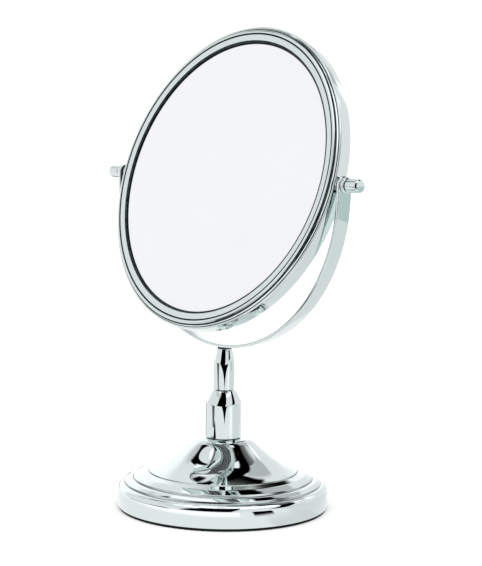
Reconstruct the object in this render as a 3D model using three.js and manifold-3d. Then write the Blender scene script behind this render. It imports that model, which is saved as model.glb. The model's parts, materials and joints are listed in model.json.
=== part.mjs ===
// A two-sided countertop mirror on a round weighted foot. A chromed yoke swivels on the stem and carries the
// round head between two pivots, on which it tips right over: a flat mirror on one side, a magnifying one on
// the other. Millimetres, +Z up. The origin is the centre of the foot's underside, +X runs through the
// right-hand pivot, and the flat mirror faces -Y, leaning back by REST_TILT.
import * as THREE from "three";
import { mergeVertices } from "three/addons/utils/BufferGeometryUtils.js";
import Module from "manifold-3d";

const wasm = await Module();
wasm.setup();

// ---- Driving dimensions --------------------------------------------------------------------------------
const BAND_RADIUS = 100; // outside of the head's middle band
const PIVOT_HEIGHT = 213.3; // pivot axis above the table
const REST_TILT = THREE.MathUtils.degToRad(17.8); // how far the head leans back
const GAP = 0.3; // air between faces that touch on the real object

// Head. Depths are measured out from the pivot axis, along the normal of the side they belong to.
const BAND_THICKNESS = 1.2;
const BAND_HALF_WIDTH = 4.6;
const GLASS_FACE = 5.2; // mirror surface, at the edge, out from the pivot axis
const GLASS_RADIUS = 93.3;
const GLASS_THICKNESS = 2;
const SIGHT_RADIUS = 89; // what the bezel leaves visible
const MAGNIFIER_RADIUS = 750; // sphere of the concave mirror, about three times magnification

// Yoke: a flat strip bent to a U.
const YOKE_RADIUS = 104.6; // outside of the bend
const YOKE_THICKNESS = 2;
const YOKE_HALF_WIDTH = 5.5;
const YOKE_DROP = 3.8; // straight run of the arms below the pivot axis

// Foot and stem.
const FOOT_RADIUS = 68;
const FOOT_TOP = 45.6; // seat of the stem
const SHELL_WALL = 1.2;
const STEM_RADIUS = 11.6;
const SPINDLE_RADIUS = 6.8;
const STEM_SHOULDER = 69.3; // where the lower stem starts to taper
const STEM_TOP = 76.6;
const SPINDLE_SHOULDER = 96;

// Fasteners.
const ROD_RADIUS = 3; // M6 tie rod through the stem
const SCREW_RADIUS = 2; // M4 yoke screw and pivot studs
const HOLE_CLEARANCE = 0.35;
const ROD_HOLE = ROD_RADIUS + HOLE_CLEARANCE;
const SCREW_HOLE = SCREW_RADIUS + HOLE_CLEARANCE;

const HEAD_SIDES = 56;
const FOOT_SIDES = 48;
const STEM_SIDES = 28;
const SMALL_SIDES = 20;

// ---- Worked-out heights --------------------------------------------------------------------------------
const YOKE_CENTRE = PIVOT_HEIGHT - YOKE_DROP;
const YOKE_UNDERSIDE = YOKE_CENTRE - YOKE_RADIUS;
const YOKE_FLOOR = YOKE_UNDERSIDE + YOKE_THICKNESS; // inside of the bend
const SWIVEL_WASHER_THICKNESS = 0.6;
const SPINDLE_TOP = YOKE_UNDERSIDE - SWIVEL_WASHER_THICKNESS - 2 * GAP;

// ---- Shapes --------------------------------------------------------------------------------------------
// Points of an arc in a profile, from one angle to another, in degrees.
function arc(cx, cy, radius, from, to, steps) {
  return Array.from({ length: steps + 1 }, (_, i) => {
    const a = THREE.MathUtils.degToRad(from + ((to - from) * i) / steps);
    return [cx + radius * Math.cos(a), cy + radius * Math.sin(a)];
  });
}

// A body turned about +Y from [radius, height] points that run counter-clockwise. A profile that leaves the
// axis ends on it; any other closes on itself.
function turned(profile, sides) {
  const onAxis = profile[0][0] === 0;
  const loop = onAxis ? profile : [...profile, profile[0]];
  return new THREE.LatheGeometry(
    loop.map(([r, h]) => new THREE.Vector2(r, h)),
    sides,
  );
}

// A plain ring, or a disc where the inner radius is 0.
function ring(inner, outer, low, high, sides) {
  const outside = [[outer, low], [outer, high]];
  const profile = inner > 0
    ? [[inner, low], ...outside, [inner, high]]
    : [[0, low], ...outside, [0, high]];
  return turned(profile, sides);
}

// Turns a body's own axis from +Y to the direction it is needed in.
const alongZ = (geometry) => geometry.rotateX(Math.PI / 2);
const alongX = (geometry, side) => geometry.rotateZ((-side * Math.PI) / 2);
const facingFront = (geometry) => geometry.rotateX(Math.PI);

function toSolid(geometry) {
  const bare = geometry.clone();
  bare.deleteAttribute("normal");
  bare.deleteAttribute("uv");
  const merged = mergeVertices(bare, 1e-4);
  return new wasm.Manifold(
    new wasm.Mesh({
      numProp: 3,
      vertProperties: new Float32Array(merged.attributes.position.array),
      triVerts: new Uint32Array(merged.index.array),
    }),
  );
}

function toGeometry(solid) {
  const mesh = solid.getMesh();
  const geometry = new THREE.BufferGeometry();
  geometry.setAttribute("position", new THREE.BufferAttribute(mesh.vertProperties, 3));
  geometry.setIndex(new THREE.BufferAttribute(mesh.triVerts, 1));
  geometry.computeVertexNormals();
  return geometry;
}

// A body less each of the cutters.
function cut(geometry, ...cutters) {
  const left = cutters.reduce((solid, cutter) => solid.subtract(toSolid(cutter)), toSolid(geometry));
  return toGeometry(left);
}

// ---- Materials -----------------------------------------------------------------------------------------
const material = (color, roughness, metalness) =>
  new THREE.MeshStandardMaterial({ color, roughness, metalness });
const CHROME = material(0xdfe6e6, 0.06, 1);
const MIRROR = material(0xf0f3f4, 0.02, 1);
const STEEL = material(0x9a9da0, 0.35, 1);
const BRASS = material(0xb08d4a, 0.35, 1);
const IRON = material(0x3c3d3f, 0.75, 0.6);
const NYLON = material(0x202224, 0.5, 0);
const FOAM = material(0x161616, 0.9, 0);
const RUBBER = material(0x111112, 0.8, 0);

const mirror = new THREE.Group();
const head = new THREE.Group();
head.position.z = PIVOT_HEIGHT;
head.rotation.x = -REST_TILT;
mirror.add(head);

// Adds one named piece to a group.
function piece(parent, name, geometry, finish) {
  const mesh = new THREE.Mesh(geometry, finish);
  mesh.name = name;
  parent.add(mesh);
  return mesh;
}

// ---- Foot: shell, weight, closing plate, pad and the nut that clamps the stem ---------------------------
const PAD_RADIUS = 67;
const PAD_TOP = 1.5;
const PLATE_TOP = PAD_TOP + GAP + 1;
const RIM_EDGE = PAD_TOP + GAP; // lower edge of the shell

// Outside of the shell, from its lower edge up the rim, over three low steps and up the flared dome.
const RIM_STEPS = [
  [FOOT_RADIUS, RIM_EDGE],
  ...arc(FOOT_RADIUS - 4, 12.3, 4, 0, 80, 4),
  [63.8, 16.5], [63.5, 17.5],
  [61.5, 18.9], [58.6, 19.5], [57.9, 20.3],
  [53.4, 22.5], [48.8, 23.9], [48.3, 24.6],
];
const DOME_FLARE = [[42, 27.2], [36, 30.1], [30, 33.9], [25, 37.9], [22, 40.3]];
const DOME_SHOULDER = arc(12, FOOT_TOP - 10.2, 10.2, 48, 90, 3);
const SHELL_INSIDE = [
  [14.9, 43.9], [19.8, 40.6], [29, 32.9], [35.2, 28.9], [47.5, 23.3], [57, 19.3], [62.6, 16.2],
  [FOOT_RADIUS - SHELL_WALL, 12.6],
  [FOOT_RADIUS - SHELL_WALL, RIM_EDGE],
];
const SHELL_CROWN = FOOT_TOP - SHELL_WALL;
const shellProfile = [
  ...RIM_STEPS,
  ...DOME_FLARE,
  ...DOME_SHOULDER,
  [ROD_HOLE, FOOT_TOP],
  [ROD_HOLE, SHELL_CROWN],
  ...SHELL_INSIDE,
];
piece(mirror, "base_shell", alongZ(turned(shellProfile, FOOT_SIDES)), CHROME);
piece(mirror, "base_pad", alongZ(ring(0, PAD_RADIUS, 0, PAD_TOP, FOOT_SIDES)), RUBBER);

const NUT_POCKET = 9;
const PLATE_RADIUS = FOOT_RADIUS - SHELL_WALL - GAP;
const plate = ring(NUT_POCKET, PLATE_RADIUS, RIM_EDGE, PLATE_TOP, FOOT_SIDES);
piece(mirror, "base_plate", alongZ(plate), STEEL);

// The weight has a hub that reaches up to the shell's crown, so that the tie rod clamps the two together.
const WEIGHT_UNDERSIDE = PLATE_TOP + GAP;
const WEIGHT_RADIUS = 62;
const HUB_RADIUS = 9;
const POCKET_TOP = 9;
const weightProfile = [
  [NUT_POCKET, WEIGHT_UNDERSIDE],
  [WEIGHT_RADIUS, WEIGHT_UNDERSIDE],
  [WEIGHT_RADIUS, 9],
  [56, 11],
  [18, 13],
  [12, 17],
  [HUB_RADIUS, 25],
  [HUB_RADIUS, SHELL_CROWN - GAP],
  [ROD_HOLE, SHELL_CROWN - GAP],
  [ROD_HOLE, POCKET_TOP],
  [NUT_POCKET, POCKET_TOP],
];
piece(mirror, "base_weight", alongZ(turned(weightProfile, FOOT_SIDES)), IRON);

const WASHER_UNDERSIDE = POCKET_TOP - GAP - 1;
const washer = ring(ROD_HOLE, 7, WASHER_UNDERSIDE, POCKET_TOP - GAP, SMALL_SIDES);
piece(mirror, "base_washer", alongZ(washer), STEEL);
const NUT_TOP = WASHER_UNDERSIDE - GAP;
const NUT_HEIGHT = 4;
const hexagon = alongZ(ring(0, 5.8, NUT_TOP - NUT_HEIGHT, NUT_TOP, 6));
const nutBore = alongZ(ring(0, ROD_HOLE, NUT_TOP - NUT_HEIGHT - 1, NUT_TOP + 1, SMALL_SIDES));
piece(mirror, "base_nut", cut(hexagon, nutBore), STEEL);

// ---- Stem: a tapered lower sleeve and a slimmer spindle, held on the foot by one tie rod ----------------
const SLEEVE_FOOT = FOOT_TOP + GAP;
const ROD_TOP = 90;
const sleeveProfile = [
  [ROD_HOLE, SLEEVE_FOOT],
  [STEM_RADIUS + 0.1, SLEEVE_FOOT],
  [STEM_RADIUS, STEM_SHOULDER],
  [7.4, STEM_TOP],
  [ROD_HOLE, STEM_TOP],
];
piece(mirror, "stem_sleeve", alongZ(turned(sleeveProfile, STEM_SIDES)), CHROME);

const SCREW_TIP = 95;
const SPRING_POCKET_RADIUS = 3.9;
const SPRING_POCKET_DEPTH = 1.2;
const spindleProfile = [
  [0, ROD_TOP + GAP],
  [ROD_HOLE, ROD_TOP + GAP],
  [ROD_HOLE, STEM_TOP + GAP],
  [SPINDLE_RADIUS, STEM_TOP + GAP],
  [SPINDLE_RADIUS, SPINDLE_SHOULDER],
  [4.9, SPINDLE_TOP],
  [SPRING_POCKET_RADIUS, SPINDLE_TOP],
  [SPRING_POCKET_RADIUS, SPINDLE_TOP - SPRING_POCKET_DEPTH],
  [SCREW_HOLE, SPINDLE_TOP - SPRING_POCKET_DEPTH],
  [SCREW_HOLE, SCREW_TIP - GAP],
  [0, SCREW_TIP - GAP],
];
piece(mirror, "stem_spindle", alongZ(turned(spindleProfile, STEM_SIDES)), CHROME);
const ROD_FOOT = NUT_TOP - NUT_HEIGHT - 0.3;
piece(mirror, "tie_rod", alongZ(ring(0, ROD_RADIUS, ROD_FOOT, ROD_TOP, SMALL_SIDES)), STEEL);

// ---- Yoke, with the screw and washers it turns on ------------------------------------------------------
// The U in the XZ plane, extruded across its width.
function yokeStrip() {
  const inner = YOKE_RADIUS - YOKE_THICKNESS;
  const outline = new THREE.Shape();
  const armTop = YOKE_DROP + YOKE_HALF_WIDTH + 1;
  outline.moveTo(YOKE_RADIUS, armTop);
  outline.lineTo(inner, armTop);
  outline.lineTo(inner, 0);
  outline.absarc(0, 0, inner, 0, Math.PI, true);
  outline.lineTo(-inner, armTop);
  outline.lineTo(-YOKE_RADIUS, armTop);
  outline.lineTo(-YOKE_RADIUS, 0);
  outline.absarc(0, 0, YOKE_RADIUS, Math.PI, 2 * Math.PI, false);
  const strip = new THREE.ExtrudeGeometry(outline, {
    depth: 2 * YOKE_HALF_WIDTH,
    bevelEnabled: false,
    curveSegments: HEAD_SIDES / 2,
  });
  return strip.translate(0, 0, -YOKE_HALF_WIDTH).rotateX(Math.PI / 2).translate(0, 0, YOKE_CENTRE);
}

// What the arms' round ends leave: the strip's width up to the pivot, closed by a half circle about it.
function yokeEnvelope() {
  const outline = new THREE.Shape();
  outline.moveTo(YOKE_HALF_WIDTH + 1, -YOKE_RADIUS - YOKE_DROP - 1);
  outline.lineTo(YOKE_HALF_WIDTH, 0);
  outline.absarc(0, 0, YOKE_HALF_WIDTH, 0, Math.PI, false);
  outline.lineTo(-YOKE_HALF_WIDTH - 1, -YOKE_RADIUS - YOKE_DROP - 1);
  const across = new THREE.ExtrudeGeometry(outline, {
    depth: 2 * YOKE_RADIUS + 2,
    bevelEnabled: false,
    curveSegments: SMALL_SIDES / 2,
  });
  return across
    .translate(0, 0, -YOKE_RADIUS - 1)
    .rotateX(Math.PI / 2)
    .rotateZ(Math.PI / 2)
    .translate(0, 0, PIVOT_HEIGHT);
}

const pivotDrill = alongX(ring(0, SCREW_HOLE, -YOKE_RADIUS - 1, YOKE_RADIUS + 1, SMALL_SIDES), 1)
  .translate(0, 0, PIVOT_HEIGHT);
const HEAD_DEPTH = 1.6; // of the countersunk yoke screw
const SCREW_FACE = YOKE_FLOOR - 0.1;
const CONE_GAP = GAP * Math.SQRT2;
const countersink = alongZ(
  turned(
    [
      [0, YOKE_UNDERSIDE - 1],
      [SCREW_HOLE, YOKE_UNDERSIDE - 1],
      [SCREW_HOLE, SCREW_FACE - HEAD_DEPTH],
      [SCREW_RADIUS + CONE_GAP, SCREW_FACE - HEAD_DEPTH],
      [SCREW_RADIUS + CONE_GAP + HEAD_DEPTH + 1, SCREW_FACE + 1],
      [0, SCREW_FACE + 1],
    ],
    SMALL_SIDES,
  ),
);
const roundedYoke = toSolid(yokeStrip()).intersect(toSolid(yokeEnvelope()));
const yoke = roundedYoke.subtract(toSolid(pivotDrill)).subtract(toSolid(countersink));
piece(mirror, "yoke", toGeometry(yoke), CHROME);

const SWIVEL_WASHER_FOOT = SPINDLE_TOP + GAP;
const swivelWasher = ring(
  SCREW_HOLE, 4.8, SWIVEL_WASHER_FOOT, SWIVEL_WASHER_FOOT + SWIVEL_WASHER_THICKNESS, SMALL_SIDES,
);
piece(mirror, "swivel_washer", alongZ(swivelWasher), NYLON);

const springFoot = SPINDLE_TOP - SPRING_POCKET_DEPTH + GAP;
const springWasher = ring(SCREW_HOLE, SPRING_POCKET_RADIUS - GAP, springFoot, SPINDLE_TOP, SMALL_SIDES);
piece(mirror, "swivel_spring_washer", alongZ(springWasher), STEEL);

const yokeScrewProfile = [
  [0, SCREW_TIP],
  [SCREW_RADIUS, SCREW_TIP],
  [SCREW_RADIUS, SCREW_FACE - HEAD_DEPTH],
  [SCREW_RADIUS + HEAD_DEPTH, SCREW_FACE],
  [0, SCREW_FACE],
];
const SLOT_DEPTH = 0.8;
const screwSlot = new THREE.BoxGeometry(10, 1, 2 * SLOT_DEPTH).translate(0, 0, SCREW_FACE);
piece(mirror, "yoke_screw", cut(alongZ(turned(yokeScrewProfile, SMALL_SIDES)), screwSlot), STEEL);

// ---- Head ----------------------------------------------------------------------------------------------
const bandInner = BAND_RADIUS - BAND_THICKNESS;
const bandHoop = ring(bandInner, BAND_RADIUS, -BAND_HALF_WIDTH, BAND_HALF_WIDTH, HEAD_SIDES);
const bandDrill = alongX(ring(0, SCREW_HOLE, -BAND_RADIUS - 1, BAND_RADIUS + 1, SMALL_SIDES), 1);
piece(head, "frame_band", cut(bandHoop, bandDrill), CHROME);

// The two bezels are alike. Each plugs into its side of the band with a short skirt, bulges out of it in a
// round bead, and runs over a groove and a dished land down to the glass.
const LIP_UNDERSIDE = GLASS_FACE + GAP;
const SKIRT_END = 4;
const SKIRT_INNER = 96.7;
const SKIRT_OUTER = bandInner - GAP;
const BEAD = [[97.8, 5.95], [96.8, 6.75], [95.7, 7.1], [94.9, 6.9]];
const GROOVE_AND_LAND = [[94.5, 6.4], [94.1, 6.75], [90.4, 6.3], [SIGHT_RADIUS + 0.1, 5.9]];
const bezelProfile = [
  [SIGHT_RADIUS, LIP_UNDERSIDE],
  [SKIRT_INNER, LIP_UNDERSIDE],
  [SKIRT_INNER, SKIRT_END],
  [SKIRT_OUTER, SKIRT_END],
  [SKIRT_OUTER, 4.9],
  ...BEAD,
  ...GROOVE_AND_LAND,
];
piece(head, "front_bezel", facingFront(turned(bezelProfile, HEAD_SIDES)), CHROME);
piece(head, "rear_bezel", turned(bezelProfile, HEAD_SIDES), CHROME);

const flatGlass = ring(0, GLASS_RADIUS, GLASS_FACE - GLASS_THICKNESS, GLASS_FACE, HEAD_SIDES);
piece(head, "flat_mirror_glass", facingFront(flatGlass), MIRROR);

// The concave glass sinks towards its middle by the sagitta of its sphere.
function concaveGlass() {
  const steps = 5;
  const sunk = (r) => (GLASS_RADIUS ** 2 - r ** 2) / (2 * MAGNIFIER_RADIUS);
  const face = Array.from({ length: steps + 1 }, (_, i) => {
    const r = GLASS_RADIUS * (1 - i / steps);
    return [r, GLASS_FACE - sunk(r)];
  });
  const back = face.map(([r, h]) => [r, h - GLASS_THICKNESS]).reverse();
  return turned([...back, ...face], HEAD_SIDES);
}
piece(head, "magnifying_mirror_glass", concaveGlass(), MIRROR);

// Between the glasses: a moulded ring that keeps them apart, with a foam gasket behind each.
const RING_INNER = 88;
const RIM_INNER = 93.6;
const FRONT_FLANGE = 1.9;
const REAR_FLANGE = -1.4;
const RIM_HALF = 5.2;
const RIM_SHOULDER = SKIRT_END - GAP; // stepped in for the bezels' skirts
const spacerRingProfile = [
  [RING_INNER, REAR_FLANGE],
  [RIM_INNER, REAR_FLANGE],
  [RIM_INNER, -RIM_HALF],
  [SKIRT_INNER - GAP, -RIM_HALF],
  [SKIRT_INNER - GAP, -RIM_SHOULDER],
  [bandInner - GAP, -RIM_SHOULDER],
  [bandInner - GAP, RIM_SHOULDER],
  [SKIRT_INNER - GAP, RIM_SHOULDER],
  [SKIRT_INNER - GAP, RIM_HALF],
  [RIM_INNER, RIM_HALF],
  [RIM_INNER, FRONT_FLANGE],
  [RING_INNER, FRONT_FLANGE],
];
const BOSS_RADIUS = 3.2;
const BOSS_START = 94.2;
const bossPockets = [1, -1].map((side) =>
  alongX(ring(0, BOSS_RADIUS + GAP, BOSS_START - 2 * GAP, BAND_RADIUS, SMALL_SIDES), side),
);
const spacerRing = facingFront(turned(spacerRingProfile, HEAD_SIDES));
piece(head, "glass_spacer_ring", cut(spacerRing, ...bossPockets), NYLON);

const frontGasket = ring(88.6, 93, FRONT_FLANGE + GAP, GLASS_FACE - GLASS_THICKNESS - GAP, HEAD_SIDES);
piece(head, "front_gasket", facingFront(frontGasket), FOAM);
const rearGasketProfile = [
  [88.6, -REAR_FLANGE + GAP],
  [93, -REAR_FLANGE + GAP],
  [93, 2.85],
  [88.6, 2.3],
];
piece(head, "rear_gasket", turned(rearGasketProfile, HEAD_SIDES), FOAM);

// ---- Pivots, the same on both sides --------------------------------------------------------------------
const yokeInner = YOKE_RADIUS - YOKE_THICKNESS;
const SPACER_START = BAND_RADIUS + GAP;
const SPACER_END = SPACER_START + 0.9;
const WASHER_START = SPACER_END + GAP;
const WASHER_END = yokeInner - GAP;
const KNOB_START = YOKE_RADIUS + GAP;
const KNOB_END = 117.2;
const KNOB_RADIUS = 4.2;
const FLANGE_RADIUS = 4.8;
const FLANGE_END = KNOB_START + 2.2;
const STUD_START = BOSS_START - GAP / 2;
const STUD_END = 114;

const pivotParts = {
  pivot_nut: [ring(SCREW_HOLE, BOSS_RADIUS, BOSS_START, bandInner - GAP, SMALL_SIDES), BRASS],
  pivot_stud: [ring(0, SCREW_RADIUS, STUD_START, STUD_END, SMALL_SIDES), STEEL],
  pivot_spacer: [ring(SCREW_HOLE, 4.4, SPACER_START, SPACER_END, SMALL_SIDES), CHROME],
  friction_washer: [ring(SCREW_HOLE, 5, WASHER_START, WASHER_END, SMALL_SIDES), NYLON],
  knob: [
    turned(
      [
        [0, STUD_END + GAP],
        [SCREW_HOLE, STUD_END + GAP],
        [SCREW_HOLE, KNOB_START],
        [FLANGE_RADIUS, KNOB_START],
        [FLANGE_RADIUS, FLANGE_END],
        [3.7, FLANGE_END + 0.2],
        [3.7, FLANGE_END + 0.8],
        [KNOB_RADIUS, FLANGE_END + 1],
        [KNOB_RADIUS, KNOB_END - 0.6],
        [KNOB_RADIUS - 0.6, KNOB_END],
        [0, KNOB_END],
      ],
      STEM_SIDES,
    ),
    CHROME,
  ],
};
for (const [sideName, side] of [["right", 1], ["left", -1]]) {
  for (const [partName, [geometry, finish]] of Object.entries(pivotParts)) {
    piece(head, `${sideName}_${partName}`, alongX(geometry.clone(), side), finish);
  }
}

export default mirror;
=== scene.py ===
import json
import math
from collections import namedtuple

import bpy
from mathutils import Matrix, Vector


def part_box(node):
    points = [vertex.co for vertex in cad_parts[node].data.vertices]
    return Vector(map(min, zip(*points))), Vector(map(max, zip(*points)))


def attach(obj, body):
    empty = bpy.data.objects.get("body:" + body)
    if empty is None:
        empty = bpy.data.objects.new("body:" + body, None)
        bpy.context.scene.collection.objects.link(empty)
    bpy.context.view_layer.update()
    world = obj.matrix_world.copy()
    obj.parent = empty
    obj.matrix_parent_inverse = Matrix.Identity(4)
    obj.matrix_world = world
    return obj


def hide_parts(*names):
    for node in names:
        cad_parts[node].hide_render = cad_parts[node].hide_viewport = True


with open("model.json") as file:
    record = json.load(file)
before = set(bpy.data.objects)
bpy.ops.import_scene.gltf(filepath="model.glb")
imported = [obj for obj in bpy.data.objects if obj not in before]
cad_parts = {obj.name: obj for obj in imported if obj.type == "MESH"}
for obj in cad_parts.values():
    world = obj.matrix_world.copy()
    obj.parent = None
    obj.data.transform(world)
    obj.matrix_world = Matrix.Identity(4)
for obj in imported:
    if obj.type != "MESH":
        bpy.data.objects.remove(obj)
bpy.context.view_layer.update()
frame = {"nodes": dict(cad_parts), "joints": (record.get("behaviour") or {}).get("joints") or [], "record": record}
MM = 0.001
ON_AXIS = 1e-6
SHARP_ANGLE = math.radians(35)

# ---- Places and sizes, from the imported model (millimetres) ---------------------------------------
X, Y, Z = range(3)
JOINTS = {joint["name"]: joint for joint in frame["joints"]}
PIVOT = Vector(JOINTS["head_tilt"]["pos_m"])


def span(node, axis):
    """A node's lowest and highest value along an axis."""
    low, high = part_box(node)
    return low[axis] / MM, high[axis] / MM


FOOT_RADIUS = span("base_shell", X)[1]
RIM_EDGE, FOOT_TOP = span("base_shell", Z)
PAD_RADIUS = span("base_pad", X)[1]
PAD_TOP = span("base_pad", Z)[1]
SLEEVE_RADIUS = span("stem_sleeve", X)[1]
SLEEVE_FOOT, SLEEVE_TOP = span("stem_sleeve", Z)
SPINDLE_RADIUS = span("stem_spindle", X)[1]
SPINDLE_FOOT, SPINDLE_TOP = span("stem_spindle", Z)
BAND_RADIUS = span("frame_band", X)[1]
YOKE_RADIUS = span("yoke", X)[1]
YOKE_HALF_WIDTH = span("yoke", Y)[1]
YOKE_UNDERSIDE = span("yoke", Z)[0]
WASHER_START, WASHER_END = span("right_friction_washer", X)
KNOB_START, KNOB_END = span("right_knob", X)
SPACER_START, SPACER_END = span("right_pivot_spacer", X)

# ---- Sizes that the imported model's boxes don't give ----------------------------------------------
REST_TILT = math.radians(17.8)
SHELL_WALL = 1.2
RIM_ROUND = 4.1
BAND_HALF_WIDTH = 4.6
BAND_THICKNESS = 1.2
GLASS_FACE = 5.2
GLASS_RADIUS = 93.3
GLASS_THICKNESS = 2.0
SIGHT_RADIUS = 89.0
# The ring of painted shade round the flat mirror's sight edge, in place of the shadow line and the bezel wall's
# dark reflection: its width, the offset of its centre, its blur and the side it is widest on.
SHADOW_RING_WIDTH = 0.35
SHADOW_RING_OFFSET = 0.9
SHADOW_RING_BLUR = 0.15
SHADOW_RING_WIDE_SIDE = math.radians(155)
MAGNIFIER_RADIUS = 750.0
YOKE_THICKNESS = 2.0
BORE = 3.35
SMALL_BORE = 2.35
KNOB_RADIUS = 4.2
FLANGE_RADIUS = 4.8
NECK_RADIUS = 3.7
SLEEVE_SHOULDER = 69.3
SLEEVE_TIP = 7.4
SPINDLE_SHOULDER = 96.0
SPINDLE_TIP = 4.9

# Frames whose +Z a piece is turned about: out of either mirror, or out along either pivot.
HEAD_FRONT = Matrix.Translation(PIVOT) @ Matrix.Rotation(math.pi / 2 - REST_TILT, 4, "X")
HEAD_REAR = Matrix.Translation(PIVOT) @ Matrix.Rotation(-math.pi / 2 - REST_TILT, 4, "X")
PIVOT_RIGHT = Matrix.Translation(PIVOT) @ Matrix.Rotation(math.pi / 2, 4, "Y")
PIVOT_LEFT = Matrix.Translation(PIVOT) @ Matrix.Rotation(-math.pi / 2, 4, "Y")
UPRIGHT = Matrix.Identity(4)


# ---- Curves and meshes ---------------------------------------------------------------------------
def arc(cx, cy, radius, start, end, steps=12):
    """Points along an arc, from one angle to another in degrees."""
    angles = [math.radians(start + (end - start) * i / steps) for i in range(steps + 1)]
    return [(cx + radius * math.cos(a), cy + radius * math.sin(a)) for a in angles]


def rounded(corners, steps=5, closed=True):
    """A profile of (radius, height, fillet) corners, each eased by a curve of about its fillet."""
    points = []
    count = len(corners)
    for i, (x, y, *fillet) in enumerate(corners):
        here = Vector((x, y))
        if not fillet or not fillet[0] or (not closed and i in (0, count - 1)):
            points.append((x, y))
            continue
        before = Vector(corners[i - 1][:2]) - here
        after = Vector(corners[(i + 1) % count][:2]) - here
        half = before.angle(after) / 2
        reach = min(fillet[0] / math.tan(half), before.length / 2.01, after.length / 2.01)
        start = here + before.normalized() * reach
        end = here + after.normalized() * reach
        for k in range(steps + 1):
            t = k / steps
            points.append(tuple(start * (1 - t) ** 2 + here * 2 * t * (1 - t) + end * t**2))
    return points


def spline(control, per_span=10):
    """A clamped uniform cubic B-spline that passes near its control points."""
    first, last = Vector(control[0]), Vector(control[-1])
    p = [first, first, *map(Vector, control), last, last]
    points = []
    for i in range(len(p) - 3):
        for k in range(per_span):
            t = k / per_span
            points.append(
                tuple(
                    (
                        p[i] * (1 - t) ** 3
                        + p[i + 1] * (3 * t**3 - 6 * t**2 + 4)
                        + p[i + 2] * (-3 * t**3 + 3 * t**2 + 3 * t + 1)
                        + p[i + 3] * t**3
                    )
                    / 6
                )
            )
    points.append(tuple(last))
    return points


def mesh_piece(name, vertices, faces, placing, material, body, replaced):
    """A smooth-shaded piece from millimetre vertices, riding on a body in place of CAD nodes."""
    mesh = bpy.data.meshes.new(name)
    mesh.from_pydata([placing @ (Vector(v) * MM) for v in vertices], [], faces)
    mesh.shade_smooth()
    mesh.set_sharp_from_angle(angle=SHARP_ANGLE)
    mesh.materials.append(material)
    piece = bpy.data.objects.new(name, mesh)
    bpy.context.scene.collection.objects.link(piece)
    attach(piece, body)
    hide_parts(*replaced)
    return piece


def in_any(point, boxes):
    """Whether a (radius, height) point is in a box of ((radius, radius), (height, height))."""
    return any(r[0] <= point[0] <= r[1] and h[0] <= point[1] <= h[1] for r, h in boxes)


def turned(name, profile, placing, material, body, replaced, sides=256, shade_boxes=(), shade_finish=None):
    """A piece turned about its own +Z from a counter-clockwise (radius, height) profile.
    Where the profile is in one of the boxes given for painted shade, it has that painted-shade material instead."""
    vertices, rings, dark = [], [], []
    for radius, height in profile:
        start = len(vertices)
        if radius < ON_AXIS:
            vertices.append((0, 0, height))
            rings.append([start] * sides)
            continue
        for k in range(sides):
            a = 2 * math.pi * k / sides
            vertices.append((radius * math.cos(a), radius * math.sin(a), height))
        rings.append(list(range(start, start + sides)))
    faces = []
    starts_on_axis = profile[0][0] < ON_AXIS
    spans = range(len(rings) - 1) if starts_on_axis else range(-1, len(rings) - 1)
    for i in spans:
        lower, upper = rings[i], rings[i + 1]
        middle = [(profile[i][n] + profile[i + 1][n]) / 2 for n in (0, 1)]
        for k in range(sides):
            n = (k + 1) % sides
            quad = [lower[k], lower[n], upper[n], upper[k]]
            face = list(dict.fromkeys(quad))
            if len(face) > 2:
                faces.append(face)
                dark.append(int(in_any(middle, shade_boxes)))
    piece = mesh_piece(name, vertices, faces, placing, material, body, replaced)
    if shade_boxes:
        piece.data.materials.append(shade_finish)
        piece.data.polygons.foreach_set("material_index", dark)
    return piece


# ---- Materials -----------------------------------------------------------------------------------
def new_material(name, color, metallic, roughness):
    """A material, its node tree and its shader."""
    material = bpy.data.materials.new(name)
    material.use_nodes = True
    tree = material.node_tree
    shader = tree.nodes["Principled BSDF"]
    shader.inputs["Base Color"].default_value = (*color, 1)
    shader.inputs["Metallic"].default_value = metallic
    shader.inputs["Roughness"].default_value = roughness
    return material, tree, shader


def add_noise(tree, scale, detail=3.0, stretch=(1, 1, 1)):
    """Noise over the object's own coordinates, with its features 1/scale metres across."""
    place = tree.nodes.new("ShaderNodeTexCoord")
    mapping = tree.nodes.new("ShaderNodeMapping")
    mapping.inputs["Scale"].default_value = stretch
    noise = tree.nodes.new("ShaderNodeTexNoise")
    noise.inputs["Scale"].default_value = scale
    noise.inputs["Detail"].default_value = detail
    tree.links.new(place.outputs["Object"], mapping.inputs["Vector"])
    tree.links.new(mapping.outputs["Vector"], noise.inputs["Vector"])
    return noise


def vary_roughness(tree, shader, noise, low, high):
    """Roughness that wanders between two values with the noise."""
    spread = tree.nodes.new("ShaderNodeMapRange")
    spread.inputs["From Min"].default_value = 0.35
    spread.inputs["From Max"].default_value = 0.7
    spread.inputs["To Min"].default_value = low
    spread.inputs["To Max"].default_value = high
    tree.links.new(noise.outputs["Fac"], spread.inputs["Value"])
    tree.links.new(spread.outputs["Result"], shader.inputs["Roughness"])


def vary_color(tree, shader, noise, dark, light):
    """Base colour that wanders between two tones with the noise."""
    ramp = tree.nodes.new("ShaderNodeValToRGB")
    ramp.color_ramp.elements[0].position = 0.35
    ramp.color_ramp.elements[0].color = (*dark, 1)
    ramp.color_ramp.elements[1].position = 0.68
    ramp.color_ramp.elements[1].color = (*light, 1)
    tree.links.new(noise.outputs["Fac"], ramp.inputs["Fac"])
    tree.links.new(ramp.outputs["Color"], shader.inputs["Base Color"])
    return ramp


def add_bump(tree, shader, noise, height, strength=1.0):
    """Relief of the given height in metres."""
    bump = tree.nodes.new("ShaderNodeBump")
    bump.inputs["Distance"].default_value = height
    bump.inputs["Strength"].default_value = strength
    tree.links.new(noise.outputs["Fac"], bump.inputs["Height"])
    tree.links.new(bump.outputs["Normal"], shader.inputs["Normal"])


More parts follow.
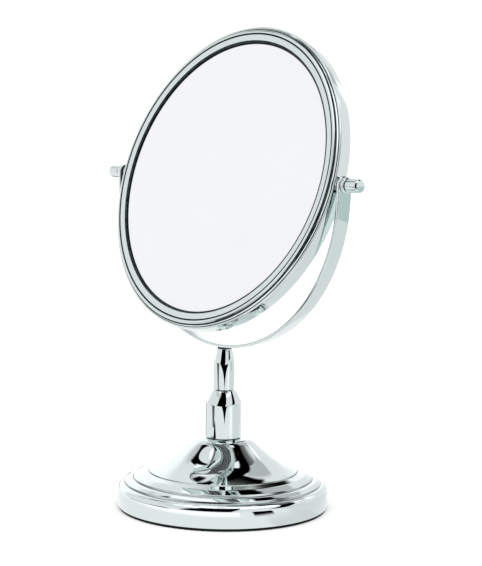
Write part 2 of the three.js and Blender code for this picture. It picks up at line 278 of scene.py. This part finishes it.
def chrome():
    """Bright chrome plate: a cool, light metal with a trace of polishing haze."""
    material, tree, shader = new_material("chrome_plate", (0.68, 0.745, 0.74), 1.0, 0.02)
    haze = add_noise(tree, 60, detail=5)
    vary_roughness(tree, shader, haze, 0.006, 0.024)
    tone = add_noise(tree, 18, detail=2)
    vary_color(tree, shader, tone, (0.665, 0.735, 0.73), (0.69, 0.755, 0.75))
    return material


def painted_groove_shade():
    """Painted shade: a near-black, dull finish, mottled by noise, put in tight grooves and gaps in place of their
    shade, and along one line as a painted dark reflection.
    """
    material, tree, shader = new_material("painted_groove_shade", (0.012, 0.02, 0.021), 0.0, 0.5)
    shader.inputs["Specular IOR Level"].default_value = 0.1
    shade_mottle = add_noise(tree, 260, detail=4)
    vary_color(tree, shader, shade_mottle, (0.004, 0.007, 0.008), (0.03, 0.045, 0.046))
    vary_roughness(tree, shader, shade_mottle, 0.4, 0.6)
    return material


def painted_crease_shade():
    """Painted shade for the bottom of a shallow crease: a rougher plate whose colour is darkened, unevenly by
    noise, to stand in for the crease's shade.
    """
    material, tree, shader = new_material("painted_crease_shade", (0.1, 0.13, 0.13), 1.0, 0.2)
    haze = add_noise(tree, 22, detail=3)
    vary_color(tree, shader, haze, (0.03, 0.04, 0.04), (0.6, 0.66, 0.66))
    vary_roughness(tree, shader, haze, 0.12, 0.3)
    return material


def silvered_glass(name, shadow_ring):
    """A silvered mirror under a faint pale bloom. Its outermost ring, next to the bezel, is painted black as
    shade, standing in for the shadow line and the dark reflection of the bezel's inner wall; the ring's centre is
    set off to one side, so it is wider there."""
    material, tree, shader = new_material(name, (0.855, 0.868, 0.878), 0.8, 0.0)
    film = add_noise(tree, 25, detail=6)
    vary_roughness(tree, shader, film, 0.0, 0.012)
    vary_color(tree, shader, film, (0.845, 0.86, 0.869), (0.86, 0.873, 0.885))
    # Painted shade: a near-black shader mixed in as a blurred ring round an off-centre point.
    shadow_ring_shader = tree.nodes.new("ShaderNodeBsdfPrincipled")
    shadow_ring_shader.inputs["Base Color"].default_value = (0.006, 0.007, 0.008, 1)
    shadow_ring_shader.inputs["Roughness"].default_value = 0.35
    shadow_ring_shader.inputs["Specular IOR Level"].default_value = 0.1
    place = tree.nodes.new("ShaderNodeTexCoord")
    offset = tree.nodes.new("ShaderNodeVectorMath")
    offset.operation = "DISTANCE"
    wide_side = Vector((math.cos(SHADOW_RING_WIDE_SIDE), math.sin(SHADOW_RING_WIDE_SIDE), 0)) * SHADOW_RING_OFFSET * MM
    offset.inputs[1].default_value = PIVOT - HEAD_FRONT.to_3x3() @ wide_side
    edge = tree.nodes.new("ShaderNodeMapRange")
    edge.inputs["From Min"].default_value = (shadow_ring - SHADOW_RING_BLUR) * MM
    edge.inputs["From Max"].default_value = (shadow_ring + SHADOW_RING_BLUR) * MM
    mix = tree.nodes.new("ShaderNodeMixShader")
    output = tree.nodes["Material Output"]
    tree.links.new(place.outputs["Object"], offset.inputs[0])
    tree.links.new(offset.outputs["Value"], edge.inputs["Value"])
    tree.links.new(edge.outputs["Result"], mix.inputs["Fac"])
    tree.links.new(shader.outputs["BSDF"], mix.inputs[1])
    tree.links.new(shadow_ring_shader.outputs["BSDF"], mix.inputs[2])
    tree.links.new(mix.outputs["Shader"], output.inputs["Surface"])
    return material


def pad_rubber():
    """Matt black rubber with a fine grain."""
    material, tree, shader = new_material("pad_rubber", (0.012, 0.012, 0.013), 0.0, 0.75)
    shader.inputs["Specular IOR Level"].default_value = 0.1
    grain = add_noise(tree, 900, detail=4)
    vary_color(tree, shader, grain, (0.003, 0.003, 0.0035), (0.012, 0.012, 0.013))
    vary_roughness(tree, shader, grain, 0.65, 0.9)
    add_bump(tree, shader, grain, 0.0001)
    return material


def plain_steel():
    """Zinc-plated steel, with fine turning marks and a mottled plate."""
    material, tree, shader = new_material("plain_steel", (0.55, 0.56, 0.57), 1.0, 0.3)
    marks = add_noise(tree, 500, detail=4, stretch=(1, 1, 12))
    vary_color(tree, shader, marks, (0.46, 0.47, 0.49), (0.64, 0.65, 0.65))
    vary_roughness(tree, shader, marks, 0.22, 0.42)
    add_bump(tree, shader, marks, 0.00004)
    return material


def cast_iron():
    """Rough grey cast iron, as it leaves the mould."""
    material, tree, shader = new_material("cast_iron", (0.05, 0.05, 0.052), 0.7, 0.75)
    sand = add_noise(tree, 420, detail=8)
    vary_color(tree, shader, sand, (0.03, 0.03, 0.032), (0.09, 0.088, 0.085))
    vary_roughness(tree, shader, sand, 0.6, 0.9)
    add_bump(tree, shader, sand, 0.0005)
    return material


def brass():
    """Turned brass, slightly dulled."""
    material, tree, shader = new_material("turned_brass", (0.6, 0.42, 0.17), 1.0, 0.3)
    marks = add_noise(tree, 500, detail=4, stretch=(10, 1, 1))
    vary_color(tree, shader, marks, (0.5, 0.34, 0.13), (0.68, 0.5, 0.22))
    vary_roughness(tree, shader, marks, 0.22, 0.4)
    return material


def black_nylon():
    """Moulded black nylon."""
    material, tree, shader = new_material("black_nylon", (0.014, 0.015, 0.016), 0.0, 0.45)
    grain = add_noise(tree, 700, detail=3)
    vary_color(tree, shader, grain, (0.01, 0.011, 0.012), (0.026, 0.027, 0.028))
    vary_roughness(tree, shader, grain, 0.38, 0.55)
    add_bump(tree, shader, grain, 0.00005)
    return material


def gasket_foam():
    """Closed-cell foam strip."""
    material, tree, shader = new_material("gasket_foam", (0.02, 0.02, 0.02), 0.0, 0.9)
    cells = add_noise(tree, 1400, detail=2)
    vary_color(tree, shader, cells, (0.008, 0.008, 0.008), (0.04, 0.04, 0.04))
    vary_roughness(tree, shader, cells, 0.8, 1.0)
    add_bump(tree, shader, cells, 0.0004)
    return material


CHROME = chrome()
GROOVE_SHADE = painted_groove_shade()
CREASE_SHADE = painted_crease_shade()
GLASS = silvered_glass("silvered_glass", SIGHT_RADIUS - SHADOW_RING_WIDTH)
RUBBER = pad_rubber()
STEEL = plain_steel()
IRON = cast_iron()
BRASS = brass()
NYLON = black_nylon()
FOAM = gasket_foam()


# ---- Foot and stem -------------------------------------------------------------------------------
def make_base_shell():
    """The bell-shaped shell: an upright rim, three low steps and a flared dome with a round shoulder."""
    rim = rounded(
        [
            (FOOT_RADIUS - SHELL_WALL, RIM_EDGE),
            (FOOT_RADIUS, RIM_EDGE, 0.4),
            *arc(FOOT_RADIUS - RIM_ROUND, 12.2, RIM_ROUND, 0, 84, 10),
            (63.9, 16.4, 0.3),
            (63.5, 17.6, 0.5),
            (61.0, 19.2, 2.0),
            (58.5, 19.4, 0.3),
            (57.8, 20.5, 0.5),
            (53.4, 22.7, 6.0),
            (48.7, 24.0, 0.3),
            (48.2, 24.7),
        ],
        steps=8,
        closed=False,
    )
    dome = spline(
        [
            (48.2, 24.7), (46, 25.5), (42, 27.1), (36, 29.8), (30, 33.7), (25, 38.0),
            (20.6, 42.0), (17, 44.9), (12.5, 45.7), (BORE, FOOT_TOP),
        ]
    )
    inside = spline(
        [
            (BORE, FOOT_TOP - SHELL_WALL), (12, 44.4), (16.2, 43.3), (20, 40.2), (24.5, 36.3),
            (29.5, 32.2), (36, 28.4), (46, 23.9), (57, 19), (63, 15.6),
            (FOOT_RADIUS - SHELL_WALL, 12), (FOOT_RADIUS - SHELL_WALL, 6),
        ]
    )
    profile = rim[:-1] + dome + inside
    # Painted shade: the bottoms of the three steps get the darkened crease finish, standing in for their shade.
    creases = [
        ((63.35, 64.0), (16.3, 17.3)),
        ((57.6, 58.6), (19.35, 20.2)),
        ((48.1, 49.0), (23.9, 24.5)),
    ]
    turned(
        "base_shell_bright", profile, UPRIGHT, CHROME, "stand", ["base_shell"],
        shade_boxes=creases, shade_finish=CREASE_SHADE,
    )


def make_base_pad():
    """The black pad, a disc with eased edges."""
    profile = rounded(
        [(0, 0), (PAD_RADIUS, 0, 0.3), (PAD_RADIUS, PAD_TOP, 0.3), (0, PAD_TOP)], closed=False,
    )
    turned("base_pad_black", profile, UPRIGHT, RUBBER, "stand", ["base_pad"])


def barrel(bottom, top, radius, hollow_low, hollow_high, steps=12):
    """A stem length's outline: widest a little below half way, and drawn in towards both ends."""
    points = []
    widest = bottom + 0.45 * (top - bottom)
    for i in range(steps + 1):
        z = bottom + (top - bottom) * i / steps
        t = (z - widest) / (top - widest) if z > widest else (widest - z) / (widest - bottom)
        points.append((radius - (hollow_high if z > widest else hollow_low) * t**2, z))
    return points


def make_stem():
    """Two bullet-shaped lengths, one on the other."""
    for node, radius, foot, shoulder, top, tip in (
        ("stem_sleeve", SLEEVE_RADIUS, SLEEVE_FOOT, SLEEVE_SHOULDER, SLEEVE_TOP, SLEEVE_TIP),
        ("stem_spindle", SPINDLE_RADIUS, SPINDLE_FOOT, SPINDLE_SHOULDER, SPINDLE_TOP, SPINDLE_TIP),
    ):
        side = barrel(foot + 0.4, shoulder, radius, 0.2, 0.3)
        profile = [(BORE, foot), (radius - 0.6, foot), *side]
        profile += rounded([side[-1], (tip, top, 0.25), (BORE, top)], closed=False)[1:]
        turned(f"{node}_bright", profile, UPRIGHT, CHROME, "stand", [node], 160)


# ---- Yoke ----------------------------------------------------------------------------------------
def yoke_path():
    """Along the strip's mid-line: (place, outward direction, half width), from tip to tip."""
    radius = YOKE_RADIUS - YOKE_THICKNESS / 2
    centre = YOKE_UNDERSIDE + YOKE_RADIUS
    tip_steps, arc_steps = 14, 180
    arm = []
    for i in range(tip_steps):
        a = math.pi / 2 * (1 - (i + 0.15) / tip_steps)
        height = YOKE_HALF_WIDTH * math.sin(a)
        arm.append((height, YOKE_HALF_WIDTH * math.cos(a)))
    pivot = PIVOT.z / MM
    rows = [(Vector((-radius, 0, pivot + h)), Vector((-1, 0, 0)), w) for h, w in arm]
    for i in range(arc_steps + 1):
        a = math.pi * (1 + i / arc_steps)
        out = Vector((math.cos(a), 0, math.sin(a)))
        rows.append((out * radius + Vector((0, 0, centre)), out, YOKE_HALF_WIDTH))
    rows += [(Vector((radius, 0, pivot + h)), Vector((1, 0, 0)), w) for h, w in reversed(arm)]
    return rows


def make_yoke():
    """The flat strip bent to a U: a rounded-edge section swept along its mid-line."""
    ease, steps = 0.45, 4
    vertices, faces = [], []
    half = YOKE_THICKNESS / 2
    rows = yoke_path()
    for place, out, width in rows:
        e = min(ease, width * 0.6)
        for sx, sy, start in ((1, 1, 0), (-1, 1, 90), (-1, -1, 180), (1, -1, 270)):
            for depth, across in arc(0, 0, e, start, start + 90, steps):
                t = sx * (half - e) + depth
                w = sy * (width - e) + across
                vertices.append(place + out * t + Vector((0, w, 0)))
    loop = 4 * (steps + 1)
    for r in range(len(rows) - 1):
        for k in range(loop):
            n = (k + 1) % loop
            faces.append([r * loop + k, (r + 1) * loop + k, (r + 1) * loop + n, r * loop + n])
    faces.append(list(range(loop)))
    faces.append([(len(rows) - 1) * loop + k for k in reversed(range(loop))])
    mesh_piece("yoke_bright", vertices, faces, UPRIGHT, CHROME, "yoke", ["yoke"])


# ---- Head ----------------------------------------------------------------------------------------
def make_band():
    """The plain band round the head, its edges rounded over to the bezels."""
    inner = BAND_RADIUS - BAND_THICKNESS
    profile = rounded(
        [
            (inner, -BAND_HALF_WIDTH, 0.1), (BAND_RADIUS, -BAND_HALF_WIDTH, 0.9),
            (BAND_RADIUS, BAND_HALF_WIDTH, 0.9), (inner, BAND_HALF_WIDTH, 0.1),
        ]
    )
    turned("frame_band_bright", profile, HEAD_FRONT, CHROME, "head", ["frame_band"], 384)


def make_bezels():
    """On each side: a round bead, a groove, a sloping land and a lip at the glass, with painted shade in the band
    joint, the groove and on the lip, and a painted dark reflection along the bead.
    """
    underside = GLASS_FACE + 0.3
    outer = BAND_RADIUS - BAND_THICKNESS - 0.3
    plug = [(SIGHT_RADIUS, underside), (96.7, underside), (96.7, 4.0), (outer, 4.0)]
    bead = spline(
        [
            (outer, 4.9), (98.3, 5.5), (97.6, 6.3), (96.7, 6.95), (95.6, 7.15), (94.9, 6.95), (94.55, 6.4),
        ],
        per_span=5,
    )
    land = rounded(
        [
            (94.45, 6.4), (94.2, 6.75, 0.2), (90.5, 6.3, 0.5), (SIGHT_RADIUS, 5.8, 0.3),
            (SIGHT_RADIUS, underside),
        ],
        closed=False,
    )
    # Painted shade and a painted reflection: the joint with the band, the groove and the lip at the glass get the
    # near-black finish in place of their shade, and a line along the bead's crown gets it as a painted dark
    # reflection.
    band_joint = ((outer - 0.1, outer + 0.1), (4, 4.95))
    bead_line = ((97.1, 98.0), (5.7, 6.8))
    groove = ((93.9, 95.25), (6.0, 7.08))
    lip = ((SIGHT_RADIUS - 0.1, 89.9), (5.0, 6.5))
    for side, placing in (("front", HEAD_FRONT), ("rear", HEAD_REAR)):
        turned(
            f"{side}_bezel_bright", plug + bead + land[:-1], placing, CHROME, "head",
            [f"{side}_bezel"], 384, shade_boxes=[band_joint, bead_line, groove, lip], shade_finish=GROOVE_SHADE,
        )


def make_glasses():
    """The flat mirror in front, and behind it the magnifying one, hollowed to a sphere."""
    back = GLASS_FACE - GLASS_THICKNESS
    flat = rounded(
        [(0, back), (GLASS_RADIUS, back, 0.4), (GLASS_RADIUS, GLASS_FACE, 0.4), (0, GLASS_FACE)],
        closed=False,
    )
    turned("flat_mirror", flat, HEAD_FRONT, GLASS, "head", ["flat_mirror_glass"], 384)
    steps = 40
    face = []
    for i in range(steps + 1):
        r = GLASS_RADIUS * (1 - i / steps)
        face.append((r, GLASS_FACE - (GLASS_RADIUS**2 - r**2) / (2 * MAGNIFIER_RADIUS)))
    rear = [(r, h - GLASS_THICKNESS) for r, h in reversed(face)]
    turned(
        "magnifying_mirror", rear + face, HEAD_REAR, GLASS, "head",
        ["magnifying_mirror_glass"], 384,
    )


# ---- Pivots --------------------------------------------------------------------------------------
def ring(start, end, radius, first_edge, last_edge):
    """A plain ring's outline round a knob's stud, with its outer edges eased."""
    return rounded(
        [(SMALL_BORE, start), (radius, start, first_edge), (radius, end, last_edge), (SMALL_BORE, end)]
    )


def knob_outline():
    """A knob from its flange, over a narrow neck, to its bevelled end."""
    flange_end = KNOB_START + 2.2
    neck_start, neck_end = flange_end + 0.2, flange_end + 0.8
    return rounded(
        [
            (0, KNOB_START + 0.4), (SMALL_BORE, KNOB_START), (FLANGE_RADIUS, KNOB_START, 0.3),
            (FLANGE_RADIUS, flange_end, 0.5), (NECK_RADIUS, neck_start, 0.2),
            (NECK_RADIUS, neck_end, 0.2), (KNOB_RADIUS, flange_end + 1, 0.3),
            (KNOB_RADIUS, KNOB_END - 0.9, 0.2), (KNOB_RADIUS - 0.7, KNOB_END, 0.2), (0, KNOB_END),
        ],
        closed=False,
    )


def make_pivots():
    """On each side: the spacer on the head, the washer on the yoke, and the knob."""
    spacer = ring(SPACER_START, SPACER_END, 4.4, 0.2, 0.3)
    washer = ring(WASHER_START, WASHER_END, 5, 0.2, 0.2)
    # Painted shade: the knob's neck gets the near-black finish, standing in for the shade in its recess.
    neck = ((NECK_RADIUS - 0.2, NECK_RADIUS + 0.3), (KNOB_START + 2.3, KNOB_START + 3.15))
    for side, placing in (("right", PIVOT_RIGHT), ("left", PIVOT_LEFT)):
        turned(
            f"{side}_spacer_bright", spacer, placing, CHROME, "head",
            [f"{side}_pivot_spacer"], 96,
        )
        turned(
            f"{side}_washer_black", washer, placing, NYLON, "yoke",
            [f"{side}_friction_washer"], 96,
        )
        turned(
            f"{side}_knob_bright", knob_outline(), placing, CHROME, f"{side}_knob",
            [f"{side}_knob"], 96, shade_boxes=[neck], shade_finish=GROOVE_SHADE,
        )


def finish_inner_pieces():
    """The CAD pieces that stay get the material that belongs to their slot."""
    finishes = {
        "chrome": CHROME, "silvered_glass": GLASS, "pad_rubber": RUBBER, "plain_steel": STEEL,
        "cast_iron": IRON, "brass": BRASS, "black_nylon": NYLON, "gasket_foam": FOAM,
    }
    for entry in frame["record"]["subparts"]:
        mesh = frame["nodes"][entry["node"]].data
        mesh.materials.clear()
        mesh.materials.append(finishes[entry["material_slot"]])


# ---- Studio --------------------------------------------------------------------------------------
CAMERA_DISTANCE = 1.0636
CAMERA_HEIGHT = 0.2595
CAMERA_AZIMUTH = math.radians(48.0)
CAMERA_PITCH = 0.1062
CAMERA_PAN = 0.0093
CAMERA_ROLL = 0.0153
CAMERA_LENS = 105.88


def make_camera():
    """A long lens on the mirror's right, a little above its middle."""
    to_camera = Vector((math.sin(CAMERA_AZIMUTH), -math.cos(CAMERA_AZIMUTH), 0))
    across = Vector((math.cos(CAMERA_AZIMUTH), math.sin(CAMERA_AZIMUTH), 0))
    up = Vector((0, 0, 1))
    level = -to_camera * math.cos(CAMERA_PAN) + across * math.sin(CAMERA_PAN)
    forward = level * math.cos(CAMERA_PITCH) - up * math.sin(CAMERA_PITCH)
    right = across * math.cos(CAMERA_PAN) + to_camera * math.sin(CAMERA_PAN)
    above = right.cross(forward)
    tipped_right = right * math.cos(CAMERA_ROLL) + above * math.sin(CAMERA_ROLL)
    tipped_above = above * math.cos(CAMERA_ROLL) - right * math.sin(CAMERA_ROLL)
    camera = bpy.data.objects.new("camera", bpy.data.cameras.new("camera"))
    camera.data.lens = CAMERA_LENS
    camera.data.sensor_width = 36
    turn = Matrix((tipped_right, tipped_above, -forward)).transposed().to_4x4()
    place = to_camera * CAMERA_DISTANCE + up * CAMERA_HEIGHT
    camera.matrix_world = Matrix.Translation(place) @ turn
    bpy.context.scene.collection.objects.link(camera)
    bpy.context.scene.camera = camera


def stage_piece(name, vertices, faces, color, roughness):
    """Something of the studio's, in one plain colour with a slight grain."""
    mesh = bpy.data.meshes.new(name)
    mesh.from_pydata(vertices, [], faces)
    material, tree, shader = new_material(name, color, 0.0, roughness)
    shader.inputs["Specular IOR Level"].default_value = 0.0
    grain = add_noise(tree, 40, detail=2)
    vary_color(tree, shader, grain, tuple(c * 0.99 for c in color), color)
    mesh.materials.append(material)
    piece = bpy.data.objects.new(name, mesh)
    bpy.context.scene.collection.objects.link(piece)
    return piece


def square(half_width):
    """The corners of a level square round the mirror's axis."""
    w = half_width
    return [(-w, -w, 0), (w, -w, 0), (w, w, 0), (-w, w, 0)]


def make_floor():
    """The white table."""
    table = stage_piece("floor", square(4.0), [[0, 1, 2, 3]], (0.96, 0.955, 0.965), 0.9)
    table.visible_glossy = False


def only_in_reflections(piece):
    """Keeps a piece of the studio out of sight and out of the light, except in reflections."""
    piece.visible_camera = False
    piece.visible_diffuse = False
    piece.visible_shadow = False
    piece.visible_transmission = False
    piece.visible_volume_scatter = False


def math_node(tree, operation, *values):
    """A math node over numbers and other nodes' outputs."""
    node = tree.nodes.new("ShaderNodeMath")
    node.operation = operation
    for i, value in enumerate(values):
        if isinstance(value, (int, float)):
            node.inputs[i].default_value = value
        else:
            tree.links.new(value, node.inputs[i])
    return node.outputs[0]


def soft_step(tree, value, low, high):
    """0 below the first edge and 1 above the second, easing between them."""
    step = tree.nodes.new("ShaderNodeMapRange")
    step.interpolation_type = "SMOOTHSTEP"
    step.inputs["From Min"].default_value = low
    step.inputs["From Max"].default_value = high
    tree.links.new(value, step.inputs["Value"])
    return step.outputs["Result"]


def grey(tone):
    """A neutral tone."""
    return (tone, tone, tone)


BLACK = grey(0.0)
GREEN_GREY = (0.63, 0.75, 0.73)

# A cloth hung in the tent: its middle azimuth and half width, how much the half width (spread) and
# the middle (lean) grow per degree of height, its lowest and highest edge, the softness of its edges
# and its tone. Degrees, with azimuths counted from the camera's towards the right of the picture.
# A negative half width makes a wedge, and later cloths cover earlier ones.
# Most rows of these two tables were not chosen by hand. They were found by a search that compared the
# reflections with the photograph: 24 of the 34 are its results, rounded or slightly changed, and
# four more started from its results.
Cloth = namedtuple("Cloth", "middle half spread lean low high soft tone")
CLOTHS = [
    # Lit panels.
    Cloth(-161, 34, -0.21, -0.26, -30, 33, 6, grey(1.3)),
    Cloth(37, 61, 0.77, -0.25, 36, 93, 2, grey(1.5)),
    Cloth(112, 15, -0.28, 0.58, 23, 49, 4, grey(1.5)),
    # A black screen in front, for the stem's dark middle, and a leaning strip for its right edge.
    Cloth(-18, 28, 0, 0.29, -35, 51, 1, BLACK),
    Cloth(55, 11, 0.05, 0.9, 6, 66, 1.5, BLACK),
    # Black, grey and pale cloths overhead and on all sides.
    Cloth(88, 37.6, -0.2, 0.64, 51, 74, 1, BLACK),
    Cloth(168, 9.5, 0, 0, 43, 66, 1.5, BLACK),
    Cloth(166, 3.8, 0, 0, 26.6, 44, 2.7, BLACK),
    Cloth(-123, 8, 0, 0, 36, 71, 1, BLACK),
    Cloth(-118, 44.6, -0.08, 0.09, 72.6, 76.5, 1.4, grey(0.2)),
    Cloth(-162.6, 3.3, 0, 0, 49.4, 57, 1.5, BLACK),
    Cloth(-176.7, 10.7, -0.09, -0.12, 38, 52, 9.4, grey(0.43)),
    Cloth(10, 4.6, 0.05, -0.19, 59.8, 70.6, 1, grey(0.46)),
    Cloth(-173, 5.9, 0, 0, 66, 80, 3.5, BLACK),
    Cloth(-89, 37, 0.42, 0.13, 32.5, 44.2, 2.8, grey(0.78)),
    Cloth(102, 30, -0.18, 0.19, 45, 55.6, 4.8, grey(0.2)),
    Cloth(103, 12, 0.07, -0.04, 61, 74, 4.7, BLACK),
    # A lit panel, a grey patch, the black in the dome's right half, and a lit wedge overhead.
    Cloth(-150.5, 11.7, 0.1, 0.11, 56, 80, 1.8, grey(1.35)),
    Cloth(141, 13.5, 0, 0.05, 36, 56.5, 1.5, grey(0.62)),
    Cloth(137, 40, 0, 0, 57.5, 74, 1, BLACK),
    Cloth(108, -7.75, 0.34, 0.15, 69, 112, 1.2, grey(1.2)),
    # Even white for the flat mirror to show.
    Cloth(-99, 14, 0, 0, -4, 48, 3, grey(1.0)),
    # A grey-green patch for the right arm.
    Cloth(86, 14, 0, 0, -8, 2.5, 0.5, GREEN_GREY),
]
# The same for what lies on the table, with centimetres from the mirror's axis for the heights.
MATS = [
    # A dark strip, a lit and a pale panel, and a black piece.
    Cloth(-64, 2.8, 0.13, -0.12, 26, 157, 1, grey(0.15)),
    Cloth(58, 20, 0, 0, 19, 136, 5, grey(1.3)),
    Cloth(88, 32, 0.1, 0.1, 6, 152, 6, (0.9, 0.92, 0.92)),
    Cloth(-57, 19, -0.55, 0, 14, 34, 1, BLACK),
    # A pointed wedge for the stem's tips, and a leaf for the foot's wall.
    Cloth(7, -12, 0.42, -0.05, 28, 378, 1, BLACK),
    Cloth(32, 6.5, 0.15, 0.05, 11.4, 17.9, 1, BLACK),
    # Two black pieces on the left and behind.
    Cloth(-153.6, 8, -0.05, 0.03, 13.4, 112, 1.2, BLACK),
    Cloth(-83, 13.3, 0.24, 0.15, 12.4, 19.4, 1, BLACK),
    # The lower part of the right arm's patch.
    Cloth(85, 11, 0, 0, 71, 400, 2, GREEN_GREY),
    # A lit and a pale grey piece close to the foot.
    Cloth(-52, 66.8, 0.45, -0.57, 11.6, 14.1, 1, grey(1.5)),
    Cloth(52, 20, 0, 0, 6, 9.7, 3, grey(0.85)),
]
TENT_RADIUS = 1.5
TENT_MIDDLE = Vector((0, 0, 0.08))
TENT_WHITE = (1.0, 1.0, 1.0)
TABLE_WHITE = (1.07, 1.07, 1.07)


def hang_cloth(tree, azimuth, height, color, cloth):
    """The colour so far with one more cloth over it."""
    soft = cloth.soft
    leaning = math_node(tree, "MULTIPLY_ADD", height, -cloth.lean, azimuth)
    turned_by = math_node(tree, "SUBTRACT", leaning, cloth.middle)
    wrapped = math_node(tree, "WRAP", turned_by, 180.0, -180.0)
    distance = math_node(tree, "ABSOLUTE", wrapped)
    off_side = math_node(tree, "MULTIPLY_ADD", height, -cloth.spread, distance)
    outside = soft_step(tree, off_side, cloth.half - soft, cloth.half + soft)
    inside = math_node(tree, "SUBTRACT", 1.0, outside)
    above = soft_step(tree, height, cloth.low - soft, cloth.low + soft)
    over = soft_step(tree, height, cloth.high - soft, cloth.high + soft)
    below = math_node(tree, "SUBTRACT", 1.0, over)
    cover = math_node(tree, "MULTIPLY", math_node(tree, "MULTIPLY", inside, above), below)
    mix = tree.nodes.new("ShaderNodeMix")
    mix.data_type = "RGBA"
    tree.links.new(cover, mix.inputs["Factor"])
    tree.links.new(color, mix.inputs["A"])
    mix.inputs["B"].default_value = (*cloth.tone, 1)
    return mix.outputs["Result"]


def glowing_material(name, white, pieces, height_of):
    """A glowing white cloth with pieces laid over it, placed by azimuth and by a height or a distance."""
    material = bpy.data.materials.new(name)
    material.use_nodes = True
    tree = material.node_tree
    tree.nodes.clear()
    place = tree.nodes.new("ShaderNodeTexCoord")
    turn = tree.nodes.new("ShaderNodeVectorRotate")
    turn.rotation_type = "Z_AXIS"
    turn.inputs["Angle"].default_value = -CAMERA_AZIMUTH
    tree.links.new(place.outputs["Object"], turn.inputs["Vector"])
    split = tree.nodes.new("ShaderNodeSeparateXYZ")
    tree.links.new(turn.outputs["Vector"], split.inputs["Vector"])
    x, y, z = split.outputs
    forward = math_node(tree, "MULTIPLY", y, -1.0)
    azimuth = math_node(tree, "DEGREES", math_node(tree, "ARCTAN2", x, forward))
    height = height_of(tree, x, y, z)
    grain = add_noise(tree, 6, detail=2)
    ramp = tree.nodes.new("ShaderNodeMix")
    ramp.data_type = "RGBA"
    tree.links.new(grain.outputs["Fac"], ramp.inputs["Factor"])
    ramp.inputs["A"].default_value = (*(0.98 * c for c in white), 1)
    ramp.inputs["B"].default_value = (*(1.02 * c for c in white), 1)
    color = ramp.outputs["Result"]
    for cloth in pieces:
        color = hang_cloth(tree, azimuth, height, color, cloth)
    glow = tree.nodes.new("ShaderNodeEmission")
    output = tree.nodes.new("ShaderNodeOutputMaterial")
    tree.links.new(color, glow.inputs["Color"])
    tree.links.new(glow.outputs["Emission"], output.inputs["Surface"])
    return material


def elevation_in_tent(tree, x, y, z):
    """Degrees above the tent's middle."""
    return math_node(tree, "DEGREES", math_node(tree, "ARCSINE", math_node(tree, "DIVIDE", z, TENT_RADIUS)))


def distance_on_table(tree, x, y, z):
    """Centimetres from the mirror's axis."""
    squares = math_node(tree, "ADD", math_node(tree, "MULTIPLY", x, x), math_node(tree, "MULTIPLY", y, y))
    return math_node(tree, "MULTIPLY", math_node(tree, "SQRT", squares), 100.0)


def reflected_piece(name, vertices, faces, material, place):
    """Part of the studio that shows only in reflections."""
    mesh = bpy.data.meshes.new(name)
    mesh.from_pydata(vertices, [], faces)
    mesh.materials.append(material)
    piece = bpy.data.objects.new(name, mesh)
    piece.location = place
    bpy.context.scene.collection.objects.link(piece)
    only_in_reflections(piece)


def make_tent():
    """The round light tent that the chrome reflects, and the table top as the chrome reflects it."""
    rows, columns = 32, 64
    vertices, faces = [], []
    for i in range(rows + 1):
        e = math.pi * (i / rows - 0.5)
        for k in range(columns):
            a = 2 * math.pi * k / columns
            vertices.append(
                TENT_RADIUS * Vector((math.cos(e) * math.cos(a), math.cos(e) * math.sin(a), math.sin(e)))
            )
    for i in range(rows):
        for k in range(columns):
            n = (k + 1) % columns
            faces.append([i * columns + k, i * columns + n, (i + 1) * columns + n, (i + 1) * columns + k])
    cloth = glowing_material("tent_cloth", TENT_WHITE, CLOTHS, elevation_in_tent)
    reflected_piece("tent", vertices, faces, cloth, TENT_MIDDLE)
    top = glowing_material("table_top", TABLE_WHITE, MATS, distance_on_table)
    reflected_piece("table_top", square(2.0), [[0, 1, 2, 3]], top, Vector((0, 0, -0.0002)))


def make_lights():
    """An even white room, with a broad soft sun that lifts the table to white."""
    world = bpy.data.worlds.new("white_room")
    world.use_nodes = True
    background = world.node_tree.nodes["Background"]
    background.inputs["Color"].default_value = (1, 1, 1, 1)
    background.inputs["Strength"].default_value = 1.1
    bpy.context.scene.world = world
    light = bpy.data.lights.new("soft_sun", "SUN")
    light.energy = 0.8
    light.angle = math.radians(60)
    sun = bpy.data.objects.new("soft_sun", light)
    sun.rotation_euler = (math.radians(12), math.radians(14), 0)
    sun.visible_glossy = False
    bpy.context.scene.collection.objects.link(sun)


def set_colour_handling():
    """Plain colours, with no film look."""
    view = bpy.context.scene.view_settings
    view.view_transform = "Standard"
    view.look = "None"


make_camera()
make_base_shell()
make_base_pad()
make_stem()
make_yoke()
make_band()
make_bezels()
make_glasses()
make_pivots()
finish_inner_pieces()
make_floor()
make_tent()
make_lights()
set_colour_handling()
